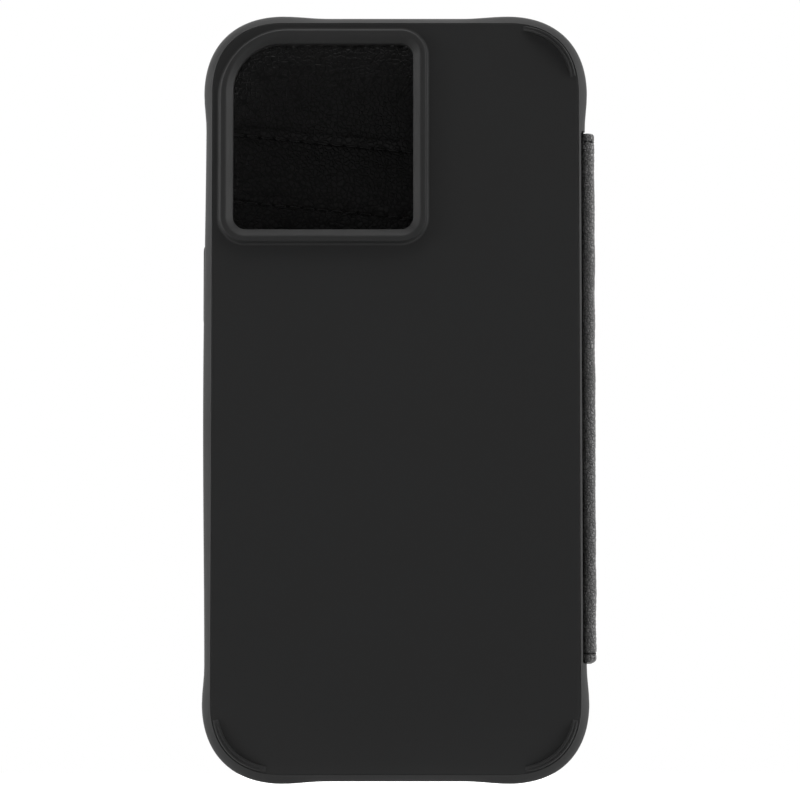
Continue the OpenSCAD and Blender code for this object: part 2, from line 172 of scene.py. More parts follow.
light_panel("left_panel", (-0.95, -0.22, 0.12), (0.4, 0.9), 5.4)
light_panel("right_panel", (0.95, -0.22, 0.12), (0.4, 0.9), 6.5)
light_panel("top_panel", (0, -0.25, 1.0), (0.9, 0.4), 3.6)
light_panel("front_panel", (0, -1.9, 0.35), (1.2, 1.0), 1.0)
light_panel("rear_panel", (-0.7, 1.7, 0.9), (1.2, 1.0), 4)


# ---- Bumper frame --------------------------------------------------------------------
# The soft rim and walls of the shell, moulded in one piece round the back panel. Its
# corners stand proud as bumpers, and a lip holds the phone in from the front.
shell_half = (shell_high - shell_low)[[0, 2]] / 2 / mm
shell_depth = (shell_high - shell_low)[1] / mm
lining_low, lining_high = (np.array(corner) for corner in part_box("back_lining"))
panel_t = (lining_low[1] - back_y) / mm
lining_half = (lining_high - lining_low)[[0, 2]] / 2 / mm

corner_r = 17.1
core = shell_half - corner_r  # centre of a corner's arc, from the shell's middle
corner_fill = 0.6
waist = 0.5
side_bow = 0.5
long_blend = 8.0
short_blend = 10.0
seat_r = 15.1  # the back panel ends here, measured from the core
rim_r = 15.25
phone_r = lining_half[0] - core[0]
lip_r = phone_r - 1.05
lip_y = shell_depth - 1.25
rim_slope = math.radians(38)
rim_depth = 2.6
front_round = 1.4
lip_round = 0.35
lip_bevel = 0.1  # inner edge of the lip
seat_bevel = 0.05  # edge of the panel's seat
ARC = 32  # steps in a corner
LONG_SIDE, SHORT_SIDE = 64, 32


def round_stations():
    """Places once round a rounded rectangle: each is a point of the unit square, for the
    corner's centre or a share of a side, and an outward direction. Corners turn in even
    steps, and the long and short sides have even steps too."""
    points, directions = [], []
    for turn, sign in enumerate(((1, 1), (-1, 1), (-1, -1), (1, -1))):
        angles = np.radians(90 * (turn + np.arange(ARC + 1) / ARC))
        points.append(np.tile(np.array(sign, float), (ARC + 1, 1)))
        directions.append(np.stack([np.cos(angles), np.sin(angles)], 1))
        start, end = np.array(sign), np.array(((-1, 1), (-1, -1), (1, -1), (1, 1))[turn])
        steps = LONG_SIDE if turn % 2 else SHORT_SIDE
        share = np.arange(1, steps)[:, None] / steps
        points.append(start + (end - start) * share)
        directions.append(np.tile(((0, 1), (-1, 0), (0, -1), (1, 0))[turn], (steps - 1, 1)))
    return np.concatenate(points), np.concatenate(directions)


def ease(t):
    """Smooth step from 0 to 1: half a cosine wave."""
    return (1 - np.cos(np.pi * np.clip(t, 0, 1))) / 2


def wall_reach(points, directions):
    """Distance of the outer wall from the core: the corner radius, less the waist where a
    side draws in by half a cosine wave, plus the bow of the free side."""
    on_long = directions[:, 1] == 0
    on_short = directions[:, 0] == 0
    reach = np.full(len(points), corner_r)
    reach -= on_long * waist * ease((core[1] - abs(points[:, 1])) / long_blend)
    reach -= on_short * waist * ease((core[0] - abs(points[:, 0])) / short_blend)
    bow = side_bow * np.cos(np.pi / 2 * points[:, 1] / core[1]) ** 2
    return reach + bow * on_long * (directions[:, 0] < 0)


def fill(directions):
    """How far a corner fills out past a quarter circle: most at its middle, by the square
    of the sine of twice the direction's angle."""
    return corner_fill * (2 * directions[:, 0] * directions[:, 1]) ** 2


def in_frame(x, y, z):
    """Millimetres from the shell's back middle to metres in the frame."""
    return np.stack(np.broadcast_arrays(mid_x + x * mm, back_y + y * mm, mid_z + z * mm), -1)


def shell_mm(name):
    """Lowest and highest corner of a node, in millimetres from the shell's back middle."""
    return [(np.array(corner) - (mid_x, back_y, mid_z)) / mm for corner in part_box(name)]


def frame_section():
    """The wall's section, as rows of distance from the core, share of the outer wall's
    reach, share of the corners' filling out, and depth. The bevel is a quadratic curve from
    its slope to upright, and the front edge and the lip are quarter circles."""
    t = np.linspace(0, 1, 14)[:, None]
    bevel_w = corner_r - rim_r
    control_y = bevel_w * math.tan(rim_slope)
    bevel_y = 2 * t * (1 - t) * control_y + t**2 * rim_depth
    bevel = np.hstack([t * 0 + rim_r, 2 * t - t**2, t * 0 + 1, bevel_y])
    a = np.linspace(0, np.pi / 2, 10)[:, None]
    front = np.hstack([
        a * 0 + rim_r, 1 - front_round / bevel_w * (1 - np.cos(a)), a * 0 + 1,
        shell_depth - front_round * (1 - np.sin(a)),
    ])
    lip = np.hstack([
        lip_r + lip_round * (1 - np.sin(a)), a * 0, a * 0,
        shell_depth - lip_round * (1 - np.cos(a)),
    ])
    inside = np.array([
        [lip_r, 0, 0, lip_y + lip_bevel], [lip_r + lip_bevel, 0, 0, lip_y],
        [phone_r, 0, 0, lip_y], [phone_r, 0, 0, panel_t], [seat_r, 0, 1, panel_t],
        [seat_r, 0, 1, 0.08], [seat_r + seat_bevel, 0, 1, 0.02],
    ])
    return np.concatenate([bevel, front, lip, inside])


def surface(name, points, closed_rows=True, closed_columns=True, caps=False):
    """Mesh of a grid of points: each cell is a face. A closed direction joins its last
    points to its first, and caps fill the first and last rows."""
    rows, columns = points.shape[:2]
    i = np.arange(rows if closed_rows else rows - 1)[:, None]
    j = np.arange(columns if closed_columns else columns - 1)[None, :]
    i2, j2 = (i + 1) % rows, (j + 1) % columns
    corners = (i * columns + j, i * columns + j2, i2 * columns + j2, i2 * columns + j)
    faces = np.stack(np.broadcast_arrays(*corners), -1).reshape(-1, 4).tolist()
    if caps:
        faces += [list(range(columns))[::-1], list(range((rows - 1) * columns, rows * columns))]
    return piece_of(name, points.reshape(-1, 3), faces)


def piece_of(name, points, faces, sharp=35):
    """Object from points and faces, with its faces turned outwards, smooth but for the
    edges that turn more than the sharp angle."""
    mesh = bpy.data.meshes.new(name)
    mesh.from_pydata(points.tolist(), [], faces)
    whole = bmesh.new()
    whole.from_mesh(mesh)
    bmesh.ops.recalc_face_normals(whole, faces=whole.faces)
    whole.to_mesh(mesh)
    whole.free()
    smooth(mesh, sharp)
    piece = bpy.data.objects.new(name, mesh)
    bpy.context.scene.collection.objects.link(piece)
    return piece


def smooth(mesh, sharp):
    """Smooth faces, with edges past an angle in degrees kept crisp."""
    mesh.polygons.foreach_set("use_smooth", np.ones(len(mesh.polygons), bool))
    mesh.set_sharp_from_angle(angle=math.radians(sharp))
    mesh.update()


def rounded(low, high, radii, steps=16):
    """Outline of a rectangle with a radius for each corner, from the upper right round:
    each corner is a quarter circle in even steps."""
    low, high = np.array(low, float), np.array(high, float)
    loops = []
    for turn, r in enumerate(radii):
        x = high[0] - r if turn in (0, 3) else low[0] + r
        y = high[1] - r if turn < 2 else low[1] + r
        angles = np.radians(90 * (turn + np.arange(steps + 1) / steps))
        loops.append(np.array((x, y)) + r * np.stack([np.cos(angles), np.sin(angles)], 1))
    return np.concatenate(loops)


def prism(name, axis, outline, start, end):
    """Straight block of an outline in the two directions across its axis."""
    outline = np.array(outline, float)
    order = {"x": (2, 0, 1), "y": (0, 2, 1), "z": (0, 1, 2)}[axis]
    rings = []
    for place in (start, end):
        flat = np.column_stack([outline, np.full(len(outline), place)])
        rings.append(in_frame(*flat[:, order].T))
    return surface(name, np.stack(rings), closed_rows=False, caps=True)


def cut(piece, cutters):
    """Takes the cutters out of the piece, and removes them."""
    for cutter in cutters:
        hole = piece.modifiers.new("cut", "BOOLEAN")
        hole.operation, hole.solver, hole.object = "DIFFERENCE", "EXACT", cutter
    shown = piece.evaluated_get(bpy.context.evaluated_depsgraph_get())
    piece.data = bpy.data.meshes.new_from_object(shown)
    piece.modifiers.clear()
    for cutter in cutters:
        bpy.data.objects.remove(cutter)


def key_outline(length, width, grow=0.0):
    """Capsule about the origin: its ends are half circles, less a trace that keeps a side."""
    half = np.array([width / 2 + grow, length / 2 + grow])
    return rounded(-half, half, [half[0] - 0.001] * 4, steps=8)


phone_mid_y = (lining_high[1] - back_y) / mm / 2 + lip_y / 2
phone_half_x = core[0] + phone_r
spine_low, spine_high = shell_mm("spine_leather")
recess_x = shell_mm("spine_anchor_leather")[0][0]
recess_gap = 0.3
recess_corner_r = 0.4
key_w = 3.0
flange = 0.9  # a key's flange reaches this far past its stem
flange_play = 0.15
key_names = ("side_button", "volume_up_button", "volume_down_button")


def key_cutters(name):
    """The slot that a key's stem passes through, and the pocket for its inner flange."""
    low, high = shell_mm(name)
    side = np.sign(low[0])
    centre = (phone_mid_y, (low[2] + high[2]) / 2)
    length = high[2] - low[2] - 2 * flange
    seat = phone_half_x + (0.9 if side < 0 else 0.7)
    slot = key_outline(length, key_w, flange_play) + centre
    pocket = key_outline(length, key_w, flange + 2 * flange_play) + centre
    return [
        prism(name + "_slot", "x", slot, side * (phone_half_x - 1), side * (shell_half[0] + 1)),
        prism(name + "_pocket", "x", pocket, side * (phone_half_x - 1), side * seat),
    ]


stations, headings = round_stations()
reach = wall_reach(stations * core, headings)
section = frame_section()
radius = section[:, :1] + section[:, 1:2] * (reach - rim_r) + section[:, 2:3] * fill(headings)
flat = (stations * core)[None] + headings[None] * radius[..., None]
bumper = surface("bumper", in_frame(flat[..., 0], section[:, 3:], flat[..., 1]))

spine_foot, spine_top = spine_low[2], spine_high[2]
recess = rounded(
    (recess_x, spine_foot - recess_gap), (60, spine_top + recess_gap), [recess_corner_r] * 4, steps=4
)
port_w, port_d = 14.0, 6.4
speaker_x, speaker_l, speaker_d = 17.5, 13.5, 3.2
mute_z, mute_l, mute_w = 137.0 - shell_half[1], 12.0, 6.0
cutters = [prism("recess", "y", recess, -1, shell_depth + 1)]
for key in key_names:
    cutters += key_cutters(key)
mute = key_outline(mute_l, mute_w) + (phone_mid_y, mute_z)
cutters.append(prism("mute", "x", mute, phone_half_x - 1, shell_half[0] + 1))
ports = [(0, port_w, port_d)]
ports += [(side * speaker_x, speaker_l, speaker_d) for side in (-1, 1)]
for x, length, width in ports:
    hole = key_outline(length, width)[:, ::-1] + (x, phone_mid_y)
    cutters.append(prism("port", "z", hole, -shell_half[1] - 1, -lining_half[1] + 1))
magnet_l = 18.0
magnet_low, magnet_high = shell_mm("shell_magnets")
for z in (magnet_low[2], magnet_high[2] - magnet_l):
    bar = rounded((magnet_low[0], z), (magnet_high[0] + 1, z + magnet_l), [0.01] * 4, steps=1)
    cutters.append(prism("magnet_pocket", "y", bar, magnet_low[1], magnet_high[1]))
cut(bumper, cutters)
smooth(bumper.data, 35)


def node_group(name, inputs, outputs):
    """New shader group with its sockets. Returns it, its add function and its inputs."""
    tree = bpy.data.node_groups.new(name, "ShaderNodeTree")
    for label, kind, value in inputs:
        socket = tree.interface.new_socket(label, in_out="INPUT", socket_type="NodeSocket" + kind)
        socket.default_value = value
    for label, kind in outputs:
        tree.interface.new_socket(label, in_out="OUTPUT", socket_type="NodeSocket" + kind)
    tools = tree_tools(tree)
    return tree, tools, tools("NodeGroupInput").outputs


def blend_colours(add, share, low, high):
    """Mix node: the low colour where the share is 0, the high one where it is 1."""
    mix = add("ShaderNodeMix", {"data_type": "RGBA"}, i0=share, i6=low, i7=high)
    return mix.outputs[2]


def blend_values(add, share, low, high):
    """The same for two plain values."""
    return add("ShaderNodeMix", {"data_type": "FLOAT"}, i0=share, i2=low, i3=high).outputs[0]


def raised(add, height, relief, strength=1.0):
    """Bump node: a normal for a height, which stands up by the relief in metres."""
    return add("ShaderNodeBump", Height=height, Distance=relief, Strength=strength).outputs[0]


# Fine, dry texture of a moulded soft-touch skin: a close grain in the surface, and slow
# clouds that shift its tone and its gloss a little.
moulded_skin, add, given = node_group(
    "moulded_skin",
    (("Deep", "Color", (0, 0, 0, 1)), ("Light", "Color", (1, 1, 1, 1)), ("Dull", "Float", 0.6),
     ("Shiny", "Float", 0.5), ("Grain", "Float", 4000.0), ("Relief", "Float", 0.000004)),
    (("Colour", "Color"), ("Roughness", "Float"), ("Normal", "Vector")),
)
place = add("ShaderNodeTexCoord").outputs["Object"]
grain = add("ShaderNodeTexNoise", Vector=place, Scale=given["Grain"], Detail=2.0, Roughness=0.6)
cloud = add("ShaderNodeTexNoise", Vector=place, Scale=55.0, Detail=3.0, Roughness=0.55)
tone = span(add, cloud.outputs[0], 0.3, 0.7, 0.0, 1.0)
add(
    "NodeGroupOutput",
    Colour=blend_colours(add, tone, given["Deep"], given["Light"]),
    Roughness=blend_values(add, tone, given["Dull"], given["Shiny"]),
    Normal=raised(add, grain.outputs[0], given["Relief"]),
)


def new_material(name):
    """Material with an empty tree, and the add function of that tree."""
    made = bpy.data.materials.new(name)
    return made, nodes_of(made)


def principled(add, **inputs):
    """Principled shader with these inputs, wired to the material's output."""
    shader = add("ShaderNodeBsdfPrincipled", **inputs)
    add("ShaderNodeOutputMaterial", Surface=shader.outputs[0])


def grey(level, warm=0.0):
    """Linear grey, warmed or cooled a little."""
    return (level * (1 + warm), level, level * (1 - warm), 1)


def grouped_material(name, group, settings, **shader):
    """Material whose shader takes its colour, roughness and normal from a group."""
    made, add = new_material(name)
    skin = add("ShaderNodeGroup", {"node_tree": group}, **settings).outputs
    principled(add, Base_Color=skin[0], Roughness=skin[1], Normal=skin[2], **shader)
    return made


soft_touch = grouped_material(
    "soft_touch_rubber", moulded_skin,
    {"Deep": grey(0.024), "Light": grey(0.026, -0.01), "Dull": 0.6, "Shiny": 0.56, "Grain": 5200.0,
     "Relief": 0.000004},
    Specular_IOR_Level=0.35,
)


def dress(piece, material, body=None, stands_for=()):
    """Gives a piece its material and, when one is named, its body, and hides the CAD nodes that it stands
    for.
    """
    piece.data.materials.clear()
    piece.data.materials.append(material)
    if body:
        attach(piece, body)
    if stands_for:
        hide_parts(*stands_for)


dress(bumper, soft_touch, "shell", ["bumper_frame"])


# ---- Back panel ----------------------------------------------------------------------
# A hard matte plate set into the bumper. Three low crescents stand on it near its
# corners, and the fourth corner gives way to the camera window.
window_low = np.array([-35.2, 119.4 - shell_half[1]])
window_high = np.array([3.8, 160.0 - shell_half[1]])


def window(grow, steps=24):
    """The camera window's outline, grown: the outer corner's radius grows faster."""
    radii = np.array([2.7, 10.5, 2.7, 2.7]) + grow * np.array([1, 1.45, 1, 1])
    return rounded(window_low - grow, window_high + grow, radii, steps)


def points_at(places, run, path):
    """Points of a path where its run reaches these places."""
    return np.stack([np.interp(places, run, path[:, k]) for k in (0, 1)], 1)


def seen_from(centre, outline, targets):
    """Points of an outline in the same directions from a centre as the targets: the
    outline's distance is looked up by angle, from close steps along its edges."""
    edge = np.concatenate([outline, outline[:1]])
    share = np.linspace(0, len(outline), 6000)
    dense = points_at(share, np.arange(len(edge)), edge) - centre
    angle = np.arctan2(dense[:, 1], dense[:, 0])
    order = np.argsort(angle)
    ray = targets - centre
    wanted = np.arctan2(ray[:, 1], ray[:, 0])
    distance = np.interp(wanted, angle[order], np.hypot(*dense[order].T), period=2 * np.pi)
    return centre + distance[:, None] * np.stack([np.cos(wanted), np.sin(wanted)], 1)


def seat(inset):
    """Outline of the panel's seat in the bumper, drawn in by an inset."""
    return stations * core + headings * (seat_r - inset + fill(headings))[:, None]


panel_edge = seat(0)
window_mid = (window_low + window_high) / 2
throat = 1.2
edge_round = 0.12
loops = []
for a in np.linspace(0, np.pi / 2, 4):
    loops.append((seat(edge_round * (1 - math.cos(a))), edge_round * (1 - math.sin(a))))
inner = seen_from(window_mid, window(throat + 0.3), panel_edge)
outer = seat(edge_round)
for share in (0.02, 0.3, 0.6, 0.9, 1.0):
    loops.append((outer + (inner - outer) * share, 0.0))
hole = seen_from(window_mid, window(throat), panel_edge)
loops += [(hole, 0.0), (hole, panel_t), (panel_edge, panel_t)]
panel_grid = np.stack([in_frame(ring[:, 0], depth, ring[:, 1]) for ring, depth in loops])

ridge_r, ridge_w, ridge_h = 14.3, 1.5, 1.2
ridge_from, ridge_to = math.radians(14), math.radians(77)


def crescent(sign):
    """A low crescent about a corner's centre. Across, it is a plateau with a slight hollow
    along its middle, an eased outer shoulder and a steep inner one. Along, its height fades
    as the root of a half sine wave, and its width by a fifth of that."""
    t = np.linspace(0, 1, 40)[:, None]
    angle = ridge_from + (ridge_to - ridge_from) * t
    fade = np.sqrt(np.sin(np.pi * np.clip(t, 0.002, 0.998)))
    u = np.linspace(-1, 1, 33)[None]
    plateau = ease((1 - abs(u)) / np.where(u < 0, 0.16, 0.42))
    hollow = 1 - 0.16 * np.cos(np.pi * np.clip(u / 0.5, -1, 1) / 2) ** 2
    bulge = corner_fill * np.sin(2 * angle) ** 2
    r = ridge_r + bulge + u * ridge_w / 2 * (0.8 + 0.2 * fade)
    y = 0.02 - (ridge_h + 0.02) * plateau * hollow * fade
    r = np.concatenate([r, r[:, ::-1]], 1)
    y = np.concatenate([y, np.full_like(y, panel_t / 2)], 1)
    x = sign[0] * (core[0] + r * np.cos(angle))
    z = sign[1] * (core[1] + r * np.sin(angle))
    return surface("crescent", in_frame(x, y, z), closed_rows=False, caps=True)


def joined(name, parts):
    """One piece from several: the parts' meshes are put together and the parts removed."""
    whole = bmesh.new()
    for part in parts:
        whole.from_mesh(part.data)
        bpy.data.objects.remove(part)
    mesh = bpy.data.meshes.new(name)
    whole.to_mesh(mesh)
    whole.free()
    smooth(mesh, 35)
    piece = bpy.data.objects.new(name, mesh)
    bpy.context.scene.collection.objects.link(piece)
    return piece


crescents = [crescent(sign) for sign in ((1, 1), (1, -1), (-1, -1))]
plate = joined("back_plate", [surface("plate", panel_grid)] + crescents)
hard_matte = grouped_material(
    "hard_matte_plastic", moulded_skin,
    {"Deep": grey(0.0212), "Light": grey(0.0218, -0.01), "Dull": 0.56, "Shiny": 0.545, "Grain": 6500.0,
     "Relief": 0.000003},
    Specular_IOR_Level=0.3,
)
dress(plate, hard_matte, "shell", ["back_panel"])


# ---- Camera guard --------------------------------------------------------------------
# A raised ring bonded round the camera window. Its inner side is a wide bevel, its top a
# narrow flat, and its outer side falls steeply to a small fillet on the back panel.
guard_h = 1.6


def soften(outline, radii, steps=5):
    """Closed outline with each corner turned into a curve whose control point it is."""
    outline = np.array(outline, float)
    before, after = np.roll(outline, 1, 0) - outline, np.roll(outline, -1, 0) - outline
    reach = np.array(radii)[:, None]
    start = outline + before / np.linalg.norm(before, axis=1)[:, None] * reach
    end = outline + after / np.linalg.norm(after, axis=1)[:, None] * reach
    t = np.linspace(0, 1, steps)[None, :, None]
    curve = start[:, None] * (1 - t) ** 2 + outline[:, None] * 2 * t * (1 - t) + end[:, None] * t**2
    return curve.reshape(-1, 2)


# Corners of the guard's section: distance out from the window's edge, and depth
guard_corners = (
    (0, panel_t), (0, -0.15), (1.55, -1.55), (2.7, -guard_h), (3.1, -0.05), (3.7, 0.02),
    (throat + 0.05, 0.02), (throat + 0.05, panel_t),
)
guard_radii = (0.05, 0.12, 0.3, 0.2, 0.3, 0.005, 0.005, 0.005)
guard_section = soften(guard_corners, guard_radii)
guard_rows = [
    in_frame(outline[:, 0], depth, outline[:, 1])
    for outline, depth in ((window(grow), depth) for grow, depth in guard_section)
]
guard = surface("camera_guard_ring", np.stack(guard_rows))
dress(guard, soft_touch, "shell", ["camera_guard"])


# ---- Lining and magnets of the shell -------------------------------------------------
# A microfibre sheet keeps the phone off the hard back, and two nickel-plated bars in the
# free side wall hold the cover shut.
fibre_nap, add, given = node_group(
    "fibre_nap",
    (("Deep", "Color", (0, 0, 0, 1)), ("Light", "Color", (1, 1, 1, 1)), ("Stretch", "Float", 1.0),
     ("Grain", "Float", 2500.0), ("Relief", "Float", 0.00003)),
    (("Colour", "Color"), ("Roughness", "Float"), ("Normal", "Vector")),
)
place = add("ShaderNodeTexCoord").outputs["Object"]
pull = add("ShaderNodeCombineXYZ", i0=1.0, i1=1.0, i2=given["Stretch"])
stretched = add("ShaderNodeVectorMath", {"operation": "MULTIPLY"}, i0=place, i1=pull.outputs[0])
fibres = add(
    "ShaderNodeTexNoise", Vector=stretched.outputs[0], Scale=given["Grain"], Detail=4.0, Roughness=0.7,
)
strand = span(add, fibres.outputs[0], 0.35, 0.65, 0.0, 1.0)
add(
    "NodeGroupOutput",
    Colour=blend_colours(add, strand, given["Deep"], given["Light"]),
    Roughness=span(add, fibres.outputs[0], 0.3, 0.7, 0.95, 0.8),
    Normal=raised(add, strand, given["Relief"], 0.8),
)

microfibre = grouped_material(
    "microfibre", fibre_nap,
    {"Deep": grey(0.02), "Light": grey(0.045, -0.02), "Stretch": 0.6, "Grain": 2600.0, "Relief": 0.00004},
    Sheen_Weight=0.25, Sheen_Roughness=0.5, Specular_IOR_Level=0.2,
)
dress(nodes["back_lining"], microfibre)

nickel, add = new_material("nickel_plate")
brushed = add(
    "ShaderNodeGroup", {"node_tree": fibre_nap}, Deep=grey(0.5, 0.02), Light=grey(0.62, 0.03),
    Stretch=0.05, Grain=5000.0, Relief=0.000004,
)
shine = span(add, brushed.outputs[1], 0.8, 0.95, 0.28, 0.42)
principled(
    add, Base_Color=brushed.outputs[0], Roughness=shine, Normal=brushed.outputs[2], Metallic=1.0,
)
dress(nodes["shell_magnets"], nickel)


# ---- Keys ----------------------------------------------------------------------------
# Three soft-touch keys, each a crowned capsule on a stem. A flange inside the wall keeps
# it captive, and the phone's own button pushes it back.
key_bodies = ("side_key", "volume_up_key", "volume_down_key")
flange_t = 0.3
shoulder = 0.35
crown = 0.08


def key_cap(name, low, high):
    """Rings of the capsule's outline from the flange out: the flange, the stem, a quarter
    round shoulder, and a crown that rises a little to the middle."""
    side = np.sign(low[0])
    seat, tip = sorted(abs(np.array([low[0], high[0]])))
    length = high[2] - low[2] - 2 * flange
    a = np.linspace(0, np.pi / 2, 6)
    depths = np.concatenate([
        [seat, seat, seat + flange_t, seat + flange_t],
        tip - crown - shoulder * (1 - np.sin(a)), [tip - crown / 3, tip],
    ])
    grows = np.concatenate([
        [-1.0, flange, flange, 0.0], -shoulder * (1 - np.cos(a)), [-shoulder - 0.4, -key_w / 2 + 0.2],
    ])
    centre = (phone_mid_y, (low[2] + high[2]) / 2)
    outlines = np.stack([key_outline(length, key_w, grow) + centre for grow in grows])
    points = in_frame(side * depths[:, None], outlines[..., 0], outlines[..., 1])
    return surface(name, points, closed_rows=False, caps=True)


for name, body in zip(key_names, key_bodies):
    cap = key_cap(body + "_cap", *shell_mm(name))
    dress(cap, soft_touch, body, [name])


# ---- Spine leather -------------------------------------------------------------------
# One strip of pebbled leather. It comes off the cover's front, turns round its edge, runs
# down the side and rolls back under the shell's edge, where it is clamped in the recess.
# Each bend is its own piece, and the two meet half way down the side.
cover_low, cover_high = shell_mm("cover_leather")
front_y = spine_high[1]
spine_x = spine_high[0]
leather_t = 1.0
meet_y = 10.4
roll_r = (spine_x - recess_x) / 2
roll_mid = np.array([spine_x - roll_r, shell_mm("spine_anchor_leather")[0][1] + roll_r])
turn_mid = np.array([spine_x - leather_t, front_y - leather_t])
weave_step = 0.22  # spacing of the leather's points
end_round = 0.8  # rounding of the strip's ends
groove, groove_w = 0.16, 0.3
pit_d, pit_w = 0.3, 0.22
stitch_edge = 1.9


def arc(centre, radius, start, end):
    """Points of an arc about a centre, from one angle in degrees to another."""
    angles = np.radians(np.linspace(start, end, 25))
    return centre + radius * np.stack([np.cos(angles), np.sin(angles)], 1)


def paced(points, step):
    """The same path, with its points an even step apart along it."""
    points = np.array(points, float)
    run = np.concatenate([[0], np.cumsum(np.linalg.norm(np.diff(points, axis=0), axis=1))])
    even = np.linspace(0, run[-1], max(2, round(run[-1] / step) + 1))
    return points_at(even, run, points), even


def pebbles(u, v, size, seed):
    """Leather grain from 0 in the creases to 1 on the pebbles: cells of a jittered grid,
    and an eased step of how much farther the second nearest cell's centre is."""
    table = np.random.default_rng(seed).random((64, 64, 2))
    u, v = u / size, v / size
    iu, iv = np.floor(u).astype(int), np.floor(v).astype(int)
    gaps = []
    for du in (-1, 0, 1):
        for dv in (-1, 0, 1):
            jitter = table[(iu + du) % 64, (iv + dv) % 64]
            gaps.append(np.hypot(u - iu - du - jitter[..., 0], v - iv - dv - jitter[..., 1]))
    gaps = np.sort(np.stack(gaps), 0)
    return ease((gaps[1] - gaps[0]) / 0.45)


def ripple(a, b, length):
    """Slow swell of a sheet laid by hand: three crossing sine waves, from -1 to 1."""
    waves = ((1.0, 0.31, 0.4), (-0.42, 0.93, 1.7), (0.66, 0.78, 4.1))
    return sum(np.sin(2 * np.pi * (a * p + b * q) / length + phase) for p, q, phase in waves) / 3


def leather_strip(name, outer, inner, start_run, stitches):
    """Strip of leather along Z, with its section's outer and inner paths. Outwards it moves
    by a slow swell, pebbles, a groove along each stitch row and pits at the needle holes,
    and it draws in to a rounded edge near both ends."""
    outer, run = paced(outer, weave_step)
    inner, _ = paced(inner, 0.4)
    run = run[None] + start_run
    height = spine_top - spine_foot
    near = np.array([0, 0.02, 0.07, 0.15])
    middle = np.linspace(0.25, height - 0.25, round(height / weave_step))
    z = np.concatenate([near, middle, height - near[::-1]])[:, None]
    from_end = np.minimum(z, height - z)
    tangent = np.gradient(outer, axis=0)
    normal = np.stack([-tangent[:, 1], tangent[:, 0]], 1)
    normal /= np.linalg.norm(normal, axis=1)[:, None]
    lift = -end_round * (1 - np.sqrt(1 - (1 - np.clip(from_end / end_round, 0, 1)) ** 2))
    lift = lift + 0.1 * ripple(run, z, 11.0) - 0.1
    lift = lift + 0.075 * pebbles(run, z, 0.72, 5) + 0.05 * pebbles(run, z, 1.9, 9)
    lift = lift - groove * np.exp(-(((from_end - stitch_edge) / groove_w) ** 2))
    for hole in stitches:
        spread = ((from_end - stitch_edge) ** 2 + (run - hole) ** 2) / pit_w**2
        lift = lift - pit_d * np.exp(-spread)
    moved = outer[None] + normal[None] * lift[..., None]
    still = np.broadcast_to(inner[None], (len(z),) + inner.shape)
    ring = np.concatenate([moved, still], 1)
    points = in_frame(ring[..., 0], ring[..., 1], spine_foot + z)
    return surface(name, points, closed_rows=False, caps=True)


# Pebbled hide under a dull finish: rounded pebbles a little apart, duller in the creases between them
# and darker there as painted shade, with finer wrinkles over them.
pebble_grain, add, given = node_group(
    "pebble_grain",
    (("Crease", "Color", (0, 0, 0, 1)), ("Top", "Color", (1, 1, 1, 1)), ("Cells", "Float", 1400.0),
     ("Relief", "Float", 0.00006), ("Dull", "Float", 0.7), ("Shiny", "Float", 0.45)),
    (("Colour", "Color"), ("Roughness", "Float"), ("Normal", "Vector")),
)
place = add("ShaderNodeTexCoord").outputs["Object"]
drift = add("ShaderNodeTexNoise", Vector=place, Scale=420.0, Detail=2.0)
shift = add("ShaderNodeVectorMath", {"operation": "SCALE"}, Vector=drift.outputs["Color"], Scale=0.0009)
bent = add("ShaderNodeVectorMath", {"operation": "ADD"}, i0=place, i1=shift.outputs[0]).outputs[0]
cells = add("ShaderNodeTexVoronoi", {"feature": "DISTANCE_TO_EDGE"}, Vector=bent, Scale=given["Cells"])
wrinkles = add("ShaderNodeTexNoise", Vector=bent, Scale=5200.0, Detail=3.0, Roughness=0.65)
patches = add("ShaderNodeTexNoise", Vector=place, Scale=90.0, Detail=2.0)
pebble = span(add, cells.outputs[0], 0.0, 0.22, 0.0, 1.0)
height = add(
    "ShaderNodeMath", {"operation": "MULTIPLY_ADD"}, i0=wrinkles.outputs[0], i1=0.35, i2=pebble,
)
patch = span(add, patches.outputs[0], 0.2, 0.7, 0.6, 1.0)
# Painted shade: where this mask is low, in the hollows between pebbles, the crease colour darkens the
# leather; the slow patches only vary the tone of the tops.
crease_shade_and_patch = add("ShaderNodeMath", {"operation": "MULTIPLY"}, i0=pebble, i1=patch).outputs[0]
add(
    "NodeGroupOutput",
    Colour=blend_colours(add, crease_shade_and_patch, given["Crease"], given["Top"]),
    Roughness=blend_values(add, crease_shade_and_patch, given["Dull"], given["Shiny"]),
    Normal=raised(add, height.outputs[0], given["Relief"]),
)


def leather_finish(name, crease, top, relief, shine=0.45, rough=0.42, cells=1400.0):
    """Leather material with its own tones, depth of grain, shine and roughness, and with so
    many pebbles to the metre. The crease tone, darker than the top, is painted shade in the hollows."""
    return grouped_material(
        name, pebble_grain,
        {"Crease": grey(crease), "Top": grey(top, 0.01), "Cells": cells, "Relief": relief,
         "Dull": rough + 0.22, "Shiny": rough},
        Specular_IOR_Level=shine,
    )


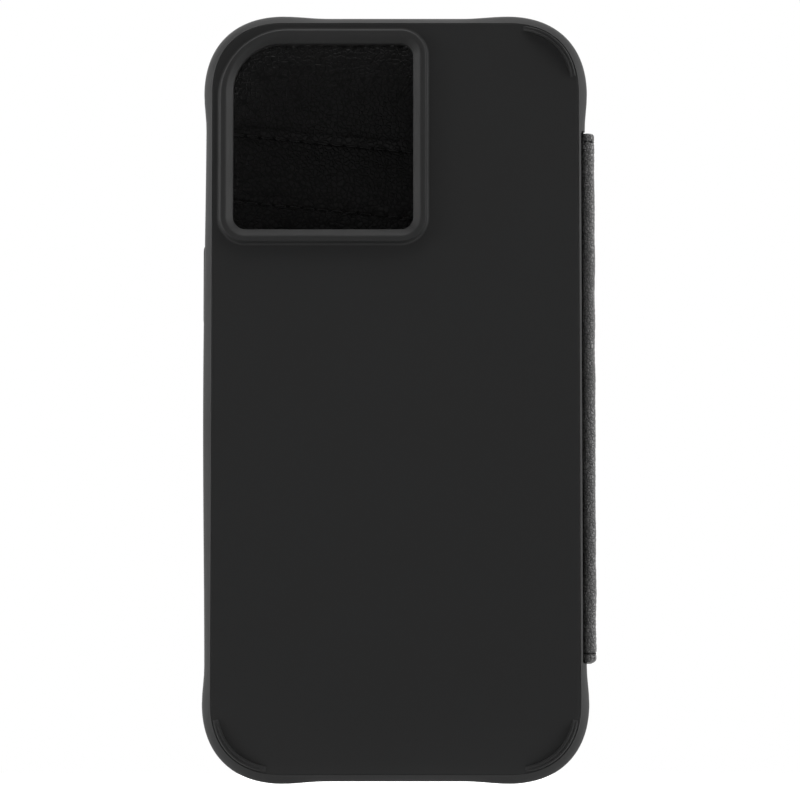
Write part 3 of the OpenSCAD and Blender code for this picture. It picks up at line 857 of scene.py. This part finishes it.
# The spine's leather is the cover's leather with lighter crease and top tones: partly its own tone,
# partly a painted highlight on the pebbles that face the right-hand light.
spine_hide_painted_highlight = leather_finish("spine_leather_painted_highlight", 0.03, 0.11, 0.0001, shine=0.9, rough=0.34)
hem = cover_high[0] - 0.05
turn_outer = np.concatenate([
    [(hem, front_y)], arc(turn_mid, leather_t, 90, 0), [(spine_x, meet_y)],
])
turn_inner = [
    (spine_x - leather_t, meet_y), (spine_x - leather_t, front_y - leather_t),
    (hem, front_y - leather_t),
]
roll_outer = np.concatenate([[(spine_x, meet_y)], arc(roll_mid, roll_r, 0, -180)])
roll_back_y = roll_mid[1] + 0.7
roll_inner = [
    (recess_x, roll_back_y), (spine_x - leather_t, roll_back_y), (spine_x - leather_t, meet_y),
]
turn_run = paced(turn_outer, weave_step)[1][-1]
hole_pitch = 1.5
past_bend = 1.52  # the first hole's distance round the roll
roll_holes = meet_y - roll_mid[1] + past_bend + hole_pitch * np.arange(-5, 3)
side_holes = roll_holes[0] - hole_pitch * np.arange(1, 5)
turn_piece = leather_strip("spine_leather_turn", turn_outer, turn_inner, -turn_run, side_holes)
roll_piece = leather_strip("spine_leather_roll", roll_outer, roll_inner, 0.0, roll_holes)
dress(turn_piece, spine_hide_painted_highlight, None, ["spine_leather"])
dress(roll_piece, spine_hide_painted_highlight, None, ["spine_anchor_leather"])


def at(x, y):
    """A place at mid height, as plain numbers in metres."""
    return tuple(float(value) for value in in_frame(x, y, 0.0))


fold_y = roll_mid[1] + 0.75
at(cover_high[0], front_y)
at(spine_x, front_y - 2.2)
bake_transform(turn_piece)
at(spine_x, fold_y + 1.65)
at(spine_x, fold_y + 0.15)
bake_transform(roll_piece)


# ---- Spine stitching -----------------------------------------------------------------
# A lock stitch closes each end of the strip. Its short threads lie in the row's groove,
# from one needle hole to the next.
def threads(name, centres, along, out, length, width):
    """Many short threads in one piece. Each is a six-sided capsule whose rings narrow
    towards its ends and dip below its middle, on its own axis and outward direction."""
    t = np.array([-1, -0.86, -0.4, 0.4, 0.86, 1])
    girth = np.array([0.35, 0.8, 1, 1, 0.8, 0.35])
    dip = 0.45 * t**4
    angle = np.radians(60 * np.arange(6))
    across = np.cross(along, out)
    ring = width / 2 * girth[:, None] * np.cos(angle)
    rise = width / 2 * (girth[:, None] * np.sin(angle) - dip[:, None])
    points = (
        centres[:, None, None] + along[:, None, None] * (t * length / 2)[None, :, None, None]
        + across[:, None, None] * ring[None, ..., None] + out[:, None, None] * rise[None, ..., None]
    )
    i, j = np.arange(5)[:, None], np.arange(6)[None]
    corners = (i * 6 + j, i * 6 + (j + 1) % 6, (i + 1) * 6 + (j + 1) % 6, (i + 1) * 6 + j)
    sides = np.stack(np.broadcast_arrays(*corners), -1).reshape(-1, 4)
    first = 36 * np.arange(len(centres))
    faces = (sides[None] + first[:, None, None]).reshape(-1, 4).tolist()
    ends = np.array([np.arange(6)[::-1], np.arange(30, 36)])
    faces += (ends[None] + first[:, None, None]).reshape(-1, 6).tolist()
    flat = points.reshape(-1, 3)
    return piece_of(name, in_frame(flat[:, 0], flat[:, 1], flat[:, 2]), faces, sharp=60)


def strip_threads(name, outer, start_run, holes, depth):
    """Threads across the strip between needle holes, at both ends of the spine."""
    outer, run = paced(outer, weave_step)
    spots = (holes[:-1] + holes[1:]) / 2 - start_run
    centre = points_at(spots, run, outer)
    ahead = points_at(spots + 0.1, run, outer) - centre
    ahead /= np.linalg.norm(ahead, axis=1)[:, None]
    out = np.stack([-ahead[:, 1], ahead[:, 0]], 1)
    centre = centre - out * depth
    heights = (spine_foot + stitch_edge, spine_top - stitch_edge)
    rows = np.concatenate([np.insert(centre, 2, z, axis=1) for z in heights])
    along = np.tile(np.insert(ahead, 2, 0, axis=1), (2, 1))
    outward = np.tile(np.insert(out, 2, 0, axis=1), (2, 1))
    return threads(name, rows, along, outward, 1.25, 0.42)


waxed = grouped_material(
    "waxed_thread", fibre_nap,
    {"Deep": grey(0.004), "Light": grey(0.012), "Stretch": 0.5, "Grain": 6000.0, "Relief": 0.00003},
    Sheen_Weight=0.15, Specular_IOR_Level=0.3,
)
thread_depth = 0.28
anchor_holes = roll_holes[roll_holes > meet_y - fold_y - 0.5]
anchor_threads = strip_threads("anchor_threads", roll_outer, 0.0, anchor_holes, thread_depth)
spine_holes = roll_holes[(roll_holes > 0) & (roll_holes < meet_y - fold_y - 1.6)]
spine_threads = strip_threads("spine_threads", roll_outer, 0.0, spine_holes, thread_depth)
dress(anchor_threads, waxed, "shell", ["anchor_stitching"])
dress(spine_threads, waxed, "spine", ["spine_stitching"])


# ---- Inside of the spine -------------------------------------------------------------
# A thin board stiffens the spine behind its leather, a microfibre strip lines it, and a
# narrower strip of board fills the roll and clamps it in the shell's recess.
pressed_board = grouped_material(
    "pressed_board", fibre_nap,
    {"Deep": grey(0.16, 0.08), "Light": grey(0.27, 0.1), "Stretch": 0.4, "Grain": 1800.0,
     "Relief": 0.00002},
)
for name in ("spine_stiffener", "spine_anchor_strip", "cover_board"):
    dress(nodes[name], pressed_board)
dress(nodes["spine_lining"], microfibre)
dress(nodes["cover_magnets"], nickel)


# ---- Cover leather -------------------------------------------------------------------
# The stiff front cover is wrapped in one panel of pebbled leather, rounded over its edge
# and turned in behind. A channel pressed along the rim takes the stitches.
cover_half = (cover_high - cover_low)[[0, 2]] / 2
cover_mid = (cover_high + cover_low)[[0, 2]] / 2
cover_r = 16.5
stitch_inset = 3.8
turn_in = 1.8
board_y = cover_low[1]
board_back_y = shell_mm("cover_board")[1][1]


def inset_ring(half, radius, inset):
    """Rounded rectangle drawn in by an inset: the corner's radius shrinks first, and past
    it the corner's centre moves in. The inset may differ from place to place."""
    inset = np.broadcast_to(inset, (len(stations),))[:, None]
    r = np.maximum(radius - inset, 0.0)
    return cover_mid + stations * (half - inset - r) + headings * r


def slab(name, half, radius, rows, swell=0.0):
    """Closed skin through rings, each an inset and a depth. The face of the first rings
    swells slowly where it is well inside the edge, and is flat again at its middle."""
    rings = []
    for inset, depth in rows:
        ring = inset_ring(half, radius, inset)
        inside = ease((np.max(inset) - 5) / 8) * ease((31 - np.max(inset)) / 8) * swell
        y = depth + inside * ripple(ring[:, 0], ring[:, 1], 31.0)
        rings.append(in_frame(ring[:, 0], y, ring[:, 1]))
    return surface(name, np.stack(rings), closed_rows=False, caps=True)


by_spine = (stations[:, 0] == 1) & (headings[:, 0] == 1) & (abs(stations[:, 1]) < 0.85)
edge = np.where(by_spine, 0.2, 0.6)
a = np.linspace(0, np.pi / 2, 6)
cover_rows = [(inset, front_y) for inset in (38, 33, 28, 23, 18, 14, 11, 8, 6, 4.5, 4.15)]
for d in (0.2, 0.1, 0, -0.1, -0.2):
    cover_rows.append((stitch_inset + d, front_y - groove * math.exp(-((d / 0.22) ** 2))))
cover_rows += [(inset, front_y) for inset in (3.45, 2.5, 1.5)]
cover_rows += [(edge * (1 - np.sin(angle)), front_y - edge * (1 - np.cos(angle))) for angle in a]
cover_rows += [(0.3 * (1 - np.cos(angle)), board_y + 0.3 * (1 - np.sin(angle))) for angle in a]
cover_rows += [(turn_in, board_y), (turn_in, board_back_y), (14, board_back_y)]
cover_hide = leather_finish("cover_leather_finish", 0.008, 0.032, 0.0001, 0.5, 0.38, cells=1200.0)
cover_skin = slab("cover_skin", cover_half, cover_r, cover_rows, swell=0.06)
dress(cover_skin, cover_hide, "cover", ["cover_leather"])


# ---- Cover lining --------------------------------------------------------------------
# A microfibre panel glued over the turned-in leather. It shows as a narrow margin round
# the pockets, and behind the open side of the bill pocket.
lining_y = shell_mm("cover_lining")[0][1]
lining_edge = 0.25
lining_inset = 0.5
lining_rows = [(lining_inset + 12, lining_y), (lining_inset + 1, lining_y)]
lining_rows += [
    (lining_inset + lining_edge * (1 - math.sin(angle)), lining_y + lining_edge * (1 - math.cos(angle)))
    for angle in a
]
lining_rows += [(lining_inset, board_y), (14, board_y)]
cover_panel = slab("cover_inner_panel", cover_half, cover_r, lining_rows)
dress(cover_panel, microfibre, "cover", ["cover_lining"])


# ---- Pockets -------------------------------------------------------------------------
# A bill pocket as large as the cover's inside, and three card pockets stepped down over
# it with slanted mouths. Each is one layer of softer leather, stitched below its mouth.
pocket_margin = 2.8
pocket_t = 0.7
pocket_half = cover_half - pocket_margin
pocket_r = cover_r - pocket_margin
pocket_left = cover_mid[0] - pocket_half[0]
pocket_right = shell_mm("bill_pocket")[1][0]
mouth_slope = math.tan(math.radians(5.6))
mouth_zone = 7  # the rows are close together this far below a mouth
mouth_lift, mouth_lift_w = 0.2, 0.8
stitch_pitch = 3.1
stitch_count = int((pocket_right - pocket_left - 2 * stitch_edge) // stitch_pitch)
stitch_x = pocket_left + stitch_edge + stitch_pitch * (0.5 + np.arange(stitch_count))
hole_x = pocket_left + stitch_edge + stitch_pitch * np.arange(stitch_count + 1)


def corner_drop(x):
    """How far the pocket's rounded corners bring its end in, at a distance along it."""
    past = np.clip(abs(x - cover_mid[0]) - (pocket_half[0] - pocket_r), 0, pocket_r)
    return pocket_r - np.sqrt(pocket_r**2 - past**2)


def mouth(level, x):
    """Height of a slanted mouth whose height at the cover's middle is given."""
    return level - shell_half[1] - x * mouth_slope


def pocket_layer(name, level, face_y):
    """Sheet in columns across and rows down from the mouth. Its face swells slowly, lifts
    along the mouth, and has a groove with needle holes below it. A bill pocket has no
    level: its top is the cover's rounded end, with no stitches of its own."""
    near = np.array([-1.0, -0.45, -0.2, 0, 0.2, 0.45, 1.0, 1.55])
    bend = pocket_left + pocket_r * (1 - np.cos(np.radians(np.arange(0, 91, 6))))
    x = np.concatenate([bend, (hole_x[:, None] + near).ravel(), [pocket_right]])
    x = np.unique(np.round(x[(x >= pocket_left) & (x <= pocket_right)], 2))[None]
    x[0, -1] = pocket_right
    foot = cover_mid[1] - pocket_half[1] + corner_drop(x)
    top = cover_mid[1] + pocket_half[1] - corner_drop(x) if level is None else mouth(level, x)
    down = np.array([0, 0.2, 0.45, 0.8, 1.2, 1.5, 1.7, 1.9, 2.1, 2.3, 2.6, 3.1, 4, 5.5, mouth_zone])
    down = down[:, None]
    rest = np.linspace(0, 1, 61)[1:, None]
    z = np.concatenate([top - down, (top - mouth_zone) + (foot - top + mouth_zone) * rest])
    below = top - z
    edge_x = np.minimum(x - pocket_left, pocket_right - x)
    calm = ease(edge_x / 6) * ease((z - foot) / 6)
    y = 0.09 * ripple(x, z, 13.0) * calm + 0.05 * ripple(z, x, 5.3) * calm
    if level is not None:
        y = y - mouth_lift * np.exp(-((below / mouth_lift_w) ** 2))
        y = y + 0.14 * np.exp(-(((below - stitch_edge) / 0.34) ** 2))
        to_hole = np.min(abs(x[..., None] - hole_x), -1)
        y = y + 0.4 * np.exp(-((to_hole / 0.4) ** 2 + ((below - stitch_edge) / 0.26) ** 2))
    points = in_frame(x, face_y + y, z)
    layer = surface(name, points, closed_rows=False, closed_columns=False)
    thick = layer.modifiers.new("thickness", "SOLIDIFY")
    thick.thickness = pocket_t * mm
    thick.offset = -1
    rim = layer.modifiers.new("rim", "BEVEL")
    rim.width = 0.22 * mm
    rim.segments = 3
    rim.limit_method = "ANGLE"
    rim.angle_limit = math.radians(50)
    return layer


def faces_back(piece):
    """Turns an open sheet's faces towards the shell if they look the other way."""
    normals = np.empty(len(piece.data.polygons) * 3)
    piece.data.polygons.foreach_get("normal", normals)
    if normals.reshape(-1, 3)[:, 1].mean() > 0:
        piece.data.flip_normals()


# The pockets' leather is a much darker copy of the cover's leather: painted shade for the deep inside of
# the camera window.
pocket_hide_painted_shade = leather_finish("pocket_leather_painted_shade", 0.003, 0.009, 0.00012, 0.24, 0.38, cells=1000.0)
levels = {"card_pocket_1": 140.5, "card_pocket_2": 125.5, "card_pocket_3": 110.5}
for name in ("bill_pocket", *levels):
    layer = pocket_layer(name + "_leather", levels.get(name), shell_mm(name)[0][1])
    faces_back(layer)
    dress(layer, pocket_hide_painted_shade, "cover", [name])


# ---- Pocket and cover stitching ------------------------------------------------------
# Waxed thread holds each card pocket below its mouth, and a row round the cover's rim
# goes through every layer, so it shows inside and outside.
pocket_faces = {level: shell_mm(name)[0][1] for name, level in levels.items()}
for k, (level, face_y) in enumerate(pocket_faces.items()):
    spots = np.stack([stitch_x, stitch_x * 0 + face_y + 0.06, mouth(level, stitch_x) - stitch_edge], 1)
    run = np.array([1, 0, -mouth_slope]) / math.hypot(1, mouth_slope)
    row = threads(
        f"pocket_threads_{k + 1}", spots, np.tile(run, (stitch_count, 1)),
        np.tile([0.0, -1.0, 0.0], (stitch_count, 1)), 2.4, 0.45,
    )
    dress(row, waxed, "cover", [f"pocket_stitching_{k + 1}"])


def inner_face(x, z):
    """Depth of the cover's innermost layer at a place, from the mouths above it."""
    depth = np.full(len(x), shell_mm("bill_pocket")[0][1])
    for level, face_y in pocket_faces.items():
        depth = np.where(z < mouth(level, x), face_y, depth)
    return np.where(x > pocket_right, lining_y, depth)


seam, seam_run = paced(
    np.concatenate([inset_ring(cover_half, cover_r, stitch_inset)] * 2)[: len(stations) + 1], 0.05
)
seam_count = int(seam_run[-1] // stitch_pitch)
pick = np.arange(seam_count) * (len(seam) - 1) // seam_count
spot, ahead = seam[pick], seam[(pick + 1) % len(seam)] - seam[pick]
ahead = np.insert(ahead / np.linalg.norm(ahead, axis=1)[:, None], 1, 0, axis=1)
inner_spots = np.stack([spot[:, 0], inner_face(*spot.T), spot[:, 1]], 1)
outer_spots = np.stack([spot[:, 0], np.full(seam_count, front_y - 0.12), spot[:, 1]], 1)
seam_out = np.repeat([[0.0, -1.0, 0.0], [0.0, 1.0, 0.0]], seam_count, axis=0)
cover_threads = threads(
    "cover_threads", np.concatenate([inner_spots, outer_spots]), np.tile(ahead, (2, 1)), seam_out,
    2.5, 0.5,
)
dress(cover_threads, waxed, "cover", ["cover_stitching"])
